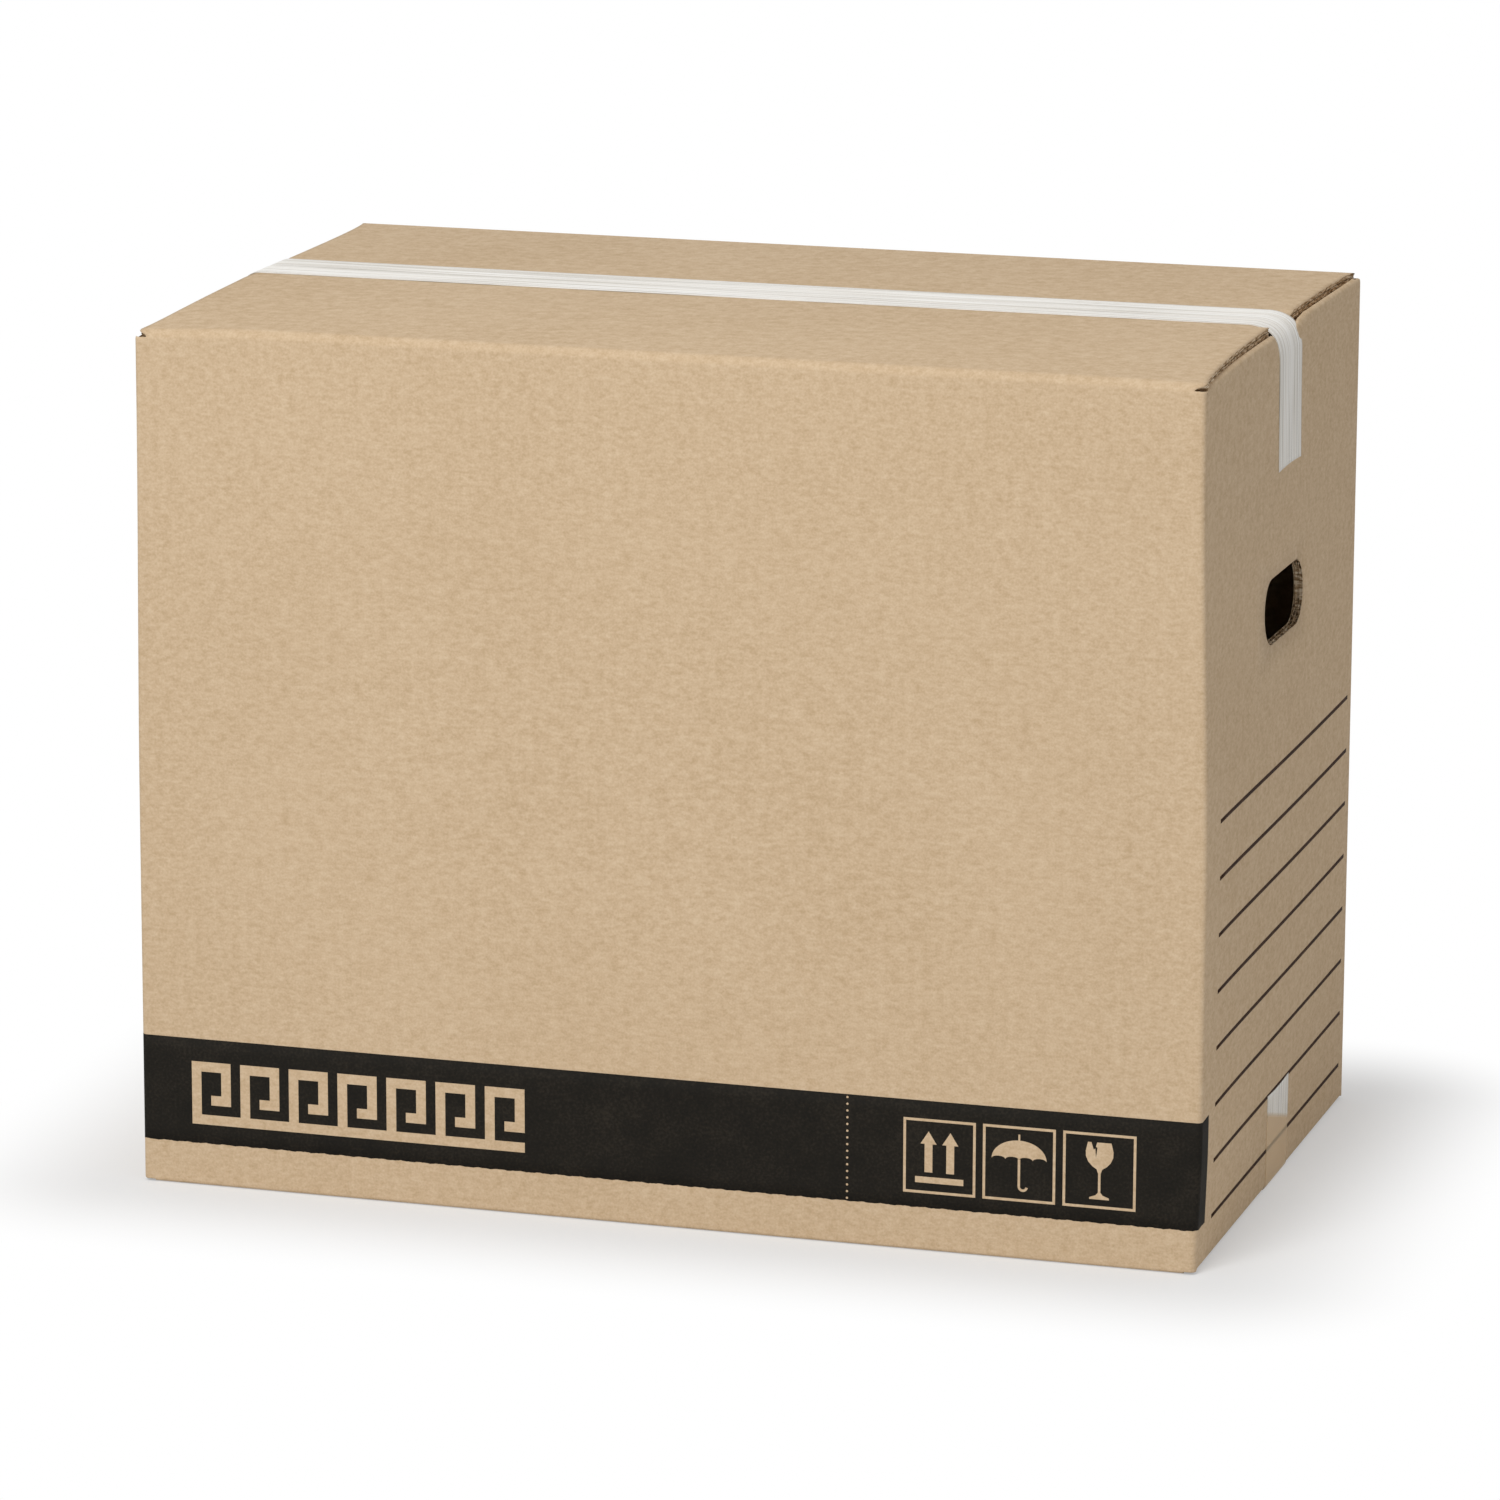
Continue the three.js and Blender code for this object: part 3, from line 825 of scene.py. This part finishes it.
def film(name, across, up, material, ragged=0.0):
    """Closed film of ink over a rectangle of the blank. Its lower edge can be ragged by a small wave."""
    points, cells = block(across, up)
    low = points[:, 1] < up[0] + SAME
    points[:, 1] += ragged * ripple(points[:, 0], BAND_RAGGED_LENGTH) * low
    flat, depth, faces = sheet_shell(points, cells, -INK_NEAR, -INK_FAR)
    places = folded(flat[:, 0], flat[:, 1], depth)
    made = put(name, places, faces, [material], uv=flat, smooth=[True, True, False])
    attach(made, "root")


def plates(name, outlines, near, far, material):
    """Closed plates, one for each anticlockwise outline given as flat points of the blank."""
    counts = [len(outline) for outline in outlines]
    starts = np.concatenate([[0], np.cumsum(counts)[:-1]])
    flat = np.concatenate(outlines)
    total = len(flat)
    faces = []
    for start, count in zip(starts, counts):
        loop = np.arange(start, start + count)
        after = np.roll(loop, -1)
        side = np.stack([after, loop, loop + total, after + total], -1)
        faces += [loop[None], (loop[::-1] + total)[None], side]
    both = np.concatenate([flat, flat])
    places = folded(both[:, 0], both[:, 1], np.repeat([-far, -near], total))
    made = put(name, places, faces, [material], uv=both, smooth=[False] * len(faces))
    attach(made, "root")


def front_across(x):
    """`across` of a place on the front panel, from its x."""
    return FRONT_START + HALF_LENGTH - CORNER_RADIUS + np.asarray(x)


def right_across(y):
    """`across` of a place on the right end panel, from its y."""
    return right_middle + np.asarray(y)


# %% Inks
def ink_material(name, dark, middle, light):
    """Matt ink, a little uneven where the paper took it up unevenly."""
    material, tree, shader = new_material(name, 0.8, 0.15)
    place = node(tree, "ShaderNodeTexCoord").outputs["Object"]
    tone = weighted(tree, (noise(tree, place, 700), 0.6), (noise(tree, place, 60, 3), 0.4))
    colour = ramp(tree, tone, (0.35, dark), (0.5, middle), (0.7, light))
    tree.links.new(colour, shader.inputs["Base Color"])
    return material


ink = ink_material("black-brown ink", srgb(25, 23, 19), srgb(31, 28, 23), srgb(46, 41, 34))
line_ink = ink_material("dark brown line ink", srgb(44, 26, 15), srgb(54, 33, 20), srgb(84, 58, 38))

# %% Printed band and writing lines
BAND_LOW, BAND_HIGH = 23.3 * MM, 80.7 * MM
BAND_WRAP = 14.5 * MM
LINE_COUNT = 8
LINE_WIDTH = 2.2 * MM
LINE_PITCH = 29.9 * MM
LOWEST_LINE = 22 * MM
LINE_NEAR, LINE_FAR = -144 * MM, 164 * MM
band_across = lines(
    (LEFT_END, FRONT_START, 12), (FRONT_START, FRONT_END, 520), (FRONT_END, RIGHT_START, 12),
    (RIGHT_START, RIGHT_START + BAND_WRAP, 8),
)
film("printed_band", band_across, lines((BAND_LOW, BAND_HIGH, 8)), ink, BAND_RAGGED)
line_across = lines((right_across(LINE_NEAR), right_across(LINE_FAR), 24))
for number in range(LINE_COUNT):
    height = LOWEST_LINE + number * LINE_PITCH
    line_up = lines((height - LINE_WIDTH / 2, height + LINE_WIDTH / 2, 1))
    film(f"writing_line_{number + 1}", line_across, line_up, line_ink)

# %% [markdown]
# ## Bare marks in the band
# Cartons carry small handling marks for this way up, keep dry and fragile. Here they are plain outlines
# in millimetres about their own middle: two arrows, an umbrella and a cracked glass, each in a frame. A
# dotted line and a running meander, an old border pattern, fill the rest of the band.

# %% Outline helpers
def ring_of(points):
    """Outline as an array of flat points, turned anticlockwise."""
    points = np.asarray(points, float)
    x, y = points.T
    area = (x * np.roll(y, -1) - np.roll(x, -1) * y).sum()
    return points if area > 0 else points[::-1]


def arc(centre, radius, start, end, count):
    """Points of an arc, its radius one number or two, its angles in degrees."""
    angle = np.radians(np.linspace(start, end, count))
    return np.asarray(centre) + np.stack([np.cos(angle), np.sin(angle)], -1) * radius


def bar(left, right, low, high):
    """Rectangle."""
    return np.array([[left, low], [right, low], [right, high], [left, high]])


def stroke(points, width):
    """Outline of a line of one width: its points moved half the width to either side."""
    points = np.asarray(points, float)
    step = unit(np.gradient(points, axis=0))
    side = step @ np.array([[0, 1], [-1, 0]]) * width / 2
    return ring_of(np.concatenate([points + side, (points - side)[::-1]]))


def frame_outlines(width, height, line):
    """Four bars round a panel, about its middle."""
    w, h = width / 2, height / 2
    return [
        bar(-w, w, h - line, h), bar(-w, w, -h, -h + line),
        bar(-w, -w + line, -h + line, h - line), bar(w - line, w, -h + line, h - line),
    ]


# %% Handling marks
def up_arrow(x):
    """Arrow that points up, with its middle line at x."""
    shaft, head, neck, tip, foot = 2.1, 4.3, 6.6, 13.4, -8.6
    return ring_of([
        (x - shaft, foot), (x + shaft, foot), (x + shaft, neck), (x + head, neck), (x, tip),
        (x - head, neck), (x - shaft, neck),
    ])


def umbrella():
    """Open umbrella: a half round cover with a scalloped hem, a spike, and a stick that ends in a hook."""
    cover_radius, hem_height, scallops = 14.6, 2.2, 4
    scallop = cover_radius / scallops
    cover = arc((0, hem_height), (cover_radius, 10.4), 0, 180, 41)
    middles = [(2 * k + 1) * scallop - cover_radius for k in range(scallops)]
    hem = [arc((x, hem_height), (scallop, 1.5), 180, 0, 9)[1:] for x in middles]
    hook = np.concatenate([[(0, 2.6), (0, -6), (0, -11.6)], arc((2.1, -11.9), 2.1, 180, 350, 12)])
    return [
        ring_of(np.concatenate([cover, *hem])),
        bar(-0.5, 0.5, 12.5, 15.8),
        stroke(hook, 1.3),
    ]


def glass():
    """Stemmed glass: one side from the rim down the bowl and the stem to the foot, the same side mirrored
    back up, and a zigzag crack across the rim."""
    rim_end = [(-1.3, 15.2)]
    bowl = [(6.2, 15.2), (7.3, 10.5), (7.2, 7.6), (5.9, 4.6), (3.6, 2.2), (1.5, 0.9)]
    stem = [(0.65, -1.5), (0.65, -11.5), (1.9, -13.0), (5.2, -14.2), (5.2, -15.2)]
    other_side = [(-x, y) for x, y in reversed(bowl + stem)]
    crack = [(-4.4, 15.2), (-3.1, 11.2), (-2.3, 11.9), (-1.9, 6.8), (-1.2, 12.3), (-2.0, 12.9)]
    return [ring_of(rim_end + bowl + stem + other_side + crack)]


def placed(outlines, x, z):
    """Outlines in millimetres about a middle, moved to a place on the front panel."""
    return [ring_of(np.asarray(o) * MM + [front_across(x), z]) for o in outlines]


MARK_MIDDLE = 51.0 * MM
MARK_PLACES = (152.0 * MM, 194.4 * MM, 236.9 * MM)
MARK_WIDTH, MARK_HEIGHT, MARK_LINE = 38.6, 40.1, 1.4
ARROW_ASIDE = 5.8
ground = bar(-12.9, 12.9, -14.4, -11.1)
arrows = [up_arrow(-ARROW_ASIDE), up_arrow(ARROW_ASIDE), ground]
marks = []
for x, inner in zip(MARK_PLACES, (arrows, umbrella(), glass())):
    marks += placed(frame_outlines(MARK_WIDTH, MARK_HEIGHT, MARK_LINE) + inner, x, MARK_MIDDLE)

# %% Dotted line and the plain meander
DOT_LINE, DOT_PITCH, DOT_RADIUS, DOT_COUNT = 102.6 * MM, 3.62 * MM, 0.62, 16
dots = []
for number in range(DOT_COUNT):
    height = (BAND_LOW + BAND_HIGH) / 2 + (number - (DOT_COUNT - 1) / 2) * DOT_PITCH
    dots += placed([arc((0, 0), DOT_RADIUS, 0, 330, 12)], DOT_LINE, height)
MEANDER_FIRST, MEANDER_PITCH, MEANDER_COUNT = -246 * MM, 27.4, 7
MEANDER_HEIGHT, MEANDER_LINE = 34.5, 5.4


def meander_unit(last):
    """One key of a running meander, as bars that meet but don't overlap, with a foot that leads to the
    next key."""
    w, h, t = MEANDER_PITCH / 2, MEANDER_HEIGHT / 2, MEANDER_LINE
    right = w - t
    return [
        bar(-w, -w + t, -h, h), bar(-w + t, right, h - t, h), bar(right - t, right, -h + 2 * t, h - t),
        bar(-w + 2 * t, right - t, -h + 2 * t, -h + 3 * t), bar(-w + t, right if last else w, -h, -h + t),
    ]


meander = []
for number in range(MEANDER_COUNT):
    middle = MEANDER_FIRST + number * MEANDER_PITCH * MM
    meander += placed(meander_unit(number == MEANDER_COUNT - 1), middle, MARK_MIDDLE)
plates("bare_marks", marks + dots + meander, MARK_NEAR, MARK_FAR, kraft)

# %% [markdown]
# ## Filament tape
# The tape is a clear film with fine glass threads along it. It looks white and a little shiny, and the
# threads show as straight grey streaks. Each strip is a path seen from the side, with soft bends at the
# box's ends, carried across the tape's width. It goes through the same small departures as the board, so
# it lies on it. The strip along the bottom has stuck flat and clear, all but its ends.

# %% Tape material
THREAD_RELIEF = 0.2 * MM


def tape_material(name):
    """White film with streaks along it. The UV map gives travel along the strip and place across it, in
    metres, so noise that is stretched along the first makes threads."""
    material, tree, shader = new_material(name, 0.42, 0.45)
    strip = node(tree, "ShaderNodeUVMap")
    strip.uv_map = "blank"
    threads = noise(tree, strip.outputs[0], 1, stretch=(9, 1500, 1))
    streaks = noise(tree, strip.outputs[0], 1, stretch=(3, 520, 1))
    tone = weighted(tree, (threads, 0.55), (streaks, 0.45))
    colour = ramp(
        tree, tone,
        (0.41, srgb(178, 170, 157)), (0.49, srgb(243, 237, 226)), (0.54, srgb(255, 253, 248)),
    )
    tree.links.new(colour, shader.inputs["Base Color"])
    relief = node(tree, "ShaderNodeBump", Strength=0.5, Distance=THREAD_RELIEF, Height=tone)
    tree.links.new(relief.outputs[0], shader.inputs["Normal"])
    return material, tree, shader, strip, colour


tape_film = tape_material("filament tape")[0]

# %% Tape that is clear away from its ends
CLEAR_FROM, CLEAR_SLANT, CLEAR_BLEND = 13 * MM, 0.28, 3 * MM
CLEAR_ALPHA = 0.45
CLEAR_TINT = srgb(255, 228, 188)


def clearing_tape(name, length):
    """Filament tape that is clear where it lies flat on the board, and white at its two ends, up to a
    slanted line: clear where the distance from the end is more than a start plus a share of the width."""
    material, tree, shader, strip, colour = tape_material(name)
    place = node(tree, "ShaderNodeSeparateXYZ", Vector=strip.outputs[0])
    from_middle = maths(tree, "ABSOLUTE", maths(tree, "SUBTRACT", place.outputs[0], length / 2))
    from_end = maths(tree, "SUBTRACT", length / 2, from_middle)
    line = maths(tree, "ADD", maths(tree, "MULTIPLY", place.outputs[1], CLEAR_SLANT), CLEAR_FROM)
    share = maths(tree, "DIVIDE", maths(tree, "SUBTRACT", from_end, line), CLEAR_BLEND)
    clear = node(tree, "ShaderNodeMapRange", Value=share)
    clear.inputs["To Min"].default_value = 1.0
    clear.inputs["To Max"].default_value = CLEAR_ALPHA
    tree.links.new(clear.outputs[0], shader.inputs["Alpha"])
    tinted = mixed(tree, node(tree, "ShaderNodeClamp", Value=share).outputs[0], colour, CLEAR_TINT)
    tree.links.new(tinted, shader.inputs["Base Color"])
    return material


# %% Tape strips
END_STEP, BEND_STEP, LEVEL_STEP = 3 * MM, 0.8 * MM, 6 * MM
WIDTH_LINES = 25
END_BOW = 0.8 * MM


def tape_strip(name, box, path, flip, material):
    """Closed strip: the path gives x and height, the width runs along y, and the thickness along the
    path's normal. Each end is cut in a slight bow, a square of the place across. A flipped strip runs
    under the box, so its heights and its faces are turned over."""
    low_y, high_y = box[0].y, box[1].y
    far = path["distance"][-1]
    marks = path["marks"]
    bends = [BEND_STEP] * ((len(marks) - 4) // 2)
    steps = [END_STEP, *bends, LEVEL_STEP, *bends, END_STEP]
    spans = zip(marks[:-1], marks[1:], steps)
    stations = lines(*((a, b, max(1, int((b - a) / step))) for a, b, step in spans))
    points, cells = block(stations, np.linspace(low_y, high_y, WIDTH_LINES))
    flat, depth, faces = sheet_shell(points, cells, 0.0, -TAPE_THICK)
    travel = flat[:, 0]
    bow = END_BOW * (1 - (2 * (flat[:, 1] - low_y) / (high_y - low_y) - 1) ** 2)
    travel = np.where(travel < SAME, travel + bow, travel)
    travel = np.where(travel > far - SAME, travel - bow, travel)
    x, height, heading = along(path, travel)
    x = x - depth * np.sin(heading)
    height = height + depth * np.cos(heading)
    z = -height if flip else height
    places = settle(np.stack([x, flat[:, 1], z - BASE], -1))
    if flip:
        faces = [g[:, ::-1] for g in faces]
    made = put(name, places, faces, [material], uv=flat, smooth=[True, True, False])
    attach(made, "root")
    return made


top_tape = tape_strip("tape_strip_top", top_box, top_path, False, tape_film)
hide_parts("tape_top")
low_bend = [(END_RADIUS, QUARTER)]
low_path = strip_path(-low_box[1].z, -BASE + TAPE_OFF, low_bend, low_bend)
low_film = clearing_tape("clearing filament tape", low_path["distance"][-1])
low_tape = tape_strip("tape_strip_bottom", low_box, low_path, True, low_film)
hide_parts("tape_bottom")

# %% [markdown]
# ## Floor, light and camera
# A pale floor keeps the carton's soft shadow, and fades to plain white away from it where the camera looks
# at it. The world is white too where the camera looks past the floor, and gives an even light. One large
# lamp stands high in front, a little to the left, so the front and the top are light and the right end is
# darker.

# %% Floor
FLOOR_HALF = 30.0
FADE_END = 130 * MM
LEAST_WHITE = 0.35
floor_mesh = bpy.data.meshes.new("floor")
floor_corners = [(FLOOR_HALF * x, FLOOR_HALF * y, 0) for x, y in ((-1, -1), (1, -1), (1, 1), (-1, 1))]
floor_mesh.from_pydata(floor_corners, [], [(0, 1, 2, 3)])
floor = bpy.data.objects.new("floor", floor_mesh)
bpy.context.scene.collection.objects.link(floor)
floor_material, floor_tree, floor_shader = new_material("pale floor", 0.9, 0.1)
floor_shader.inputs["Base Color"].default_value = (0.8, 0.8, 0.8, 1)
floor_point = node(floor_tree, "ShaderNodeTexCoord").outputs["Object"]
floor_place = node(floor_tree, "ShaderNodeSeparateXYZ", Vector=floor_point)
beside_x = maths(floor_tree, "SUBTRACT", maths(floor_tree, "ABSOLUTE", floor_place.outputs[0]), HALF_LENGTH)
beside_y = maths(floor_tree, "SUBTRACT", maths(floor_tree, "ABSOLUTE", floor_place.outputs[1]), HALF_WIDTH)
floor_span = node(
    floor_tree, "ShaderNodeCombineXYZ",
    X=maths(floor_tree, "MAXIMUM", beside_x, 0.0), Y=maths(floor_tree, "MAXIMUM", beside_y, 0.0),
)
beside = node(floor_tree, "ShaderNodeVectorMath", _0=floor_span.outputs[0])
beside.operation = "LENGTH"
fade = node(floor_tree, "ShaderNodeMapRange", Value=beside.outputs["Value"])
fade.interpolation_type = "SMOOTHSTEP"
fade.inputs["From Max"].default_value = FADE_END
fade.inputs["To Min"].default_value = LEAST_WHITE
floor_rays = floor_tree.nodes.new("ShaderNodeLightPath")
white = node(floor_tree, "ShaderNodeEmission")
faded = node(floor_tree, "ShaderNodeMixShader")
whiteness = maths(floor_tree, "MULTIPLY", fade.outputs[0], floor_rays.outputs["Is Camera Ray"])
floor_tree.links.new(whiteness, faded.inputs[0])
floor_tree.links.new(floor_shader.outputs[0], faded.inputs[1])
floor_tree.links.new(white.outputs[0], faded.inputs[2])
floor_tree.links.new(faded.outputs[0], floor_tree.nodes["Material Output"].inputs["Surface"])
floor_mesh.materials.append(floor_material)
print("floor fades to white", FADE_END, "m away from the box")

# %% World
AMBIENT = 0.475
world = bpy.data.worlds.new("white room")
bpy.context.scene.world = world
world.use_nodes = True
world_tree = world.node_tree
background = world_tree.nodes["Background"]
light_path = world_tree.nodes.new("ShaderNodeLightPath")
seen = maths(world_tree, "MAXIMUM", light_path.outputs["Is Camera Ray"], light_path.outputs["Is Glossy Ray"])
seen = maths(world_tree, "MAXIMUM", seen, light_path.outputs["Is Transmission Ray"])
strength = maths(world_tree, "ADD", maths(world_tree, "MULTIPLY", seen, 1 - AMBIENT), AMBIENT)
world_tree.links.new(strength, background.inputs["Strength"])
background.inputs["Color"].default_value = (1, 1, 1, 1)
print("even light of strength", AMBIENT)

# %% Key lamp
KEY_PLACE = Vector((-0.35, -2.18, 2.55))
KEY_AIM = Vector((0, 0, 0.2))
KEY_SIZE = 1.25
KEY_POWER = 53
lamp = bpy.data.lights.new("key lamp", "AREA")
lamp.shape = "SQUARE"
lamp.size = KEY_SIZE
lamp.energy = KEY_POWER
key = bpy.data.objects.new("key lamp", lamp)
key.location = KEY_PLACE
key.rotation_euler = (KEY_AIM - KEY_PLACE).to_track_quat("-Z", "Y").to_euler()
bpy.context.scene.collection.objects.link(key)
print("key lamp of", KEY_POWER, "W")

# %% [markdown]
# ## Camera
# The place comes from a fit to the photo's box edges. The focal length is in pixels of an image 1500 wide.

# %% Camera
CAMERA_PLACE = Vector((1.073838, -3.596816, 1.079655))
YAW, PITCH, ROLL = 0.291138, 0.225824, 0.00409
FOCAL, IMAGE = 7139.36, 1500
SENSOR = 36.0
look = Vector((-np.sin(YAW) * np.cos(PITCH), np.cos(YAW) * np.cos(PITCH), -np.sin(PITCH)))
right = Vector((np.cos(YAW), np.sin(YAW), 0))
up = right.cross(look)
tilted_right = np.cos(ROLL) * right + np.sin(ROLL) * up
tilted_up = np.cos(ROLL) * up - np.sin(ROLL) * right
camera_data = bpy.data.cameras.new("camera")
camera_data.sensor_width = SENSOR
camera_data.sensor_fit = "HORIZONTAL"
camera_data.lens = FOCAL / IMAGE * SENSOR
camera_data.clip_start = 0.05
camera = bpy.data.objects.new("camera", camera_data)
turn = Matrix((tilted_right, tilted_up, -look)).transposed()
camera.matrix_world = Matrix.Translation(CAMERA_PLACE) @ turn.to_4x4()
bpy.context.scene.collection.objects.link(camera)
bpy.context.scene.camera = camera
print("camera", round((CAMERA_PLACE - KEY_AIM).length, 3), "m from the box")

# %% Finish
bpy.context.scene.view_settings.view_transform = "Standard"
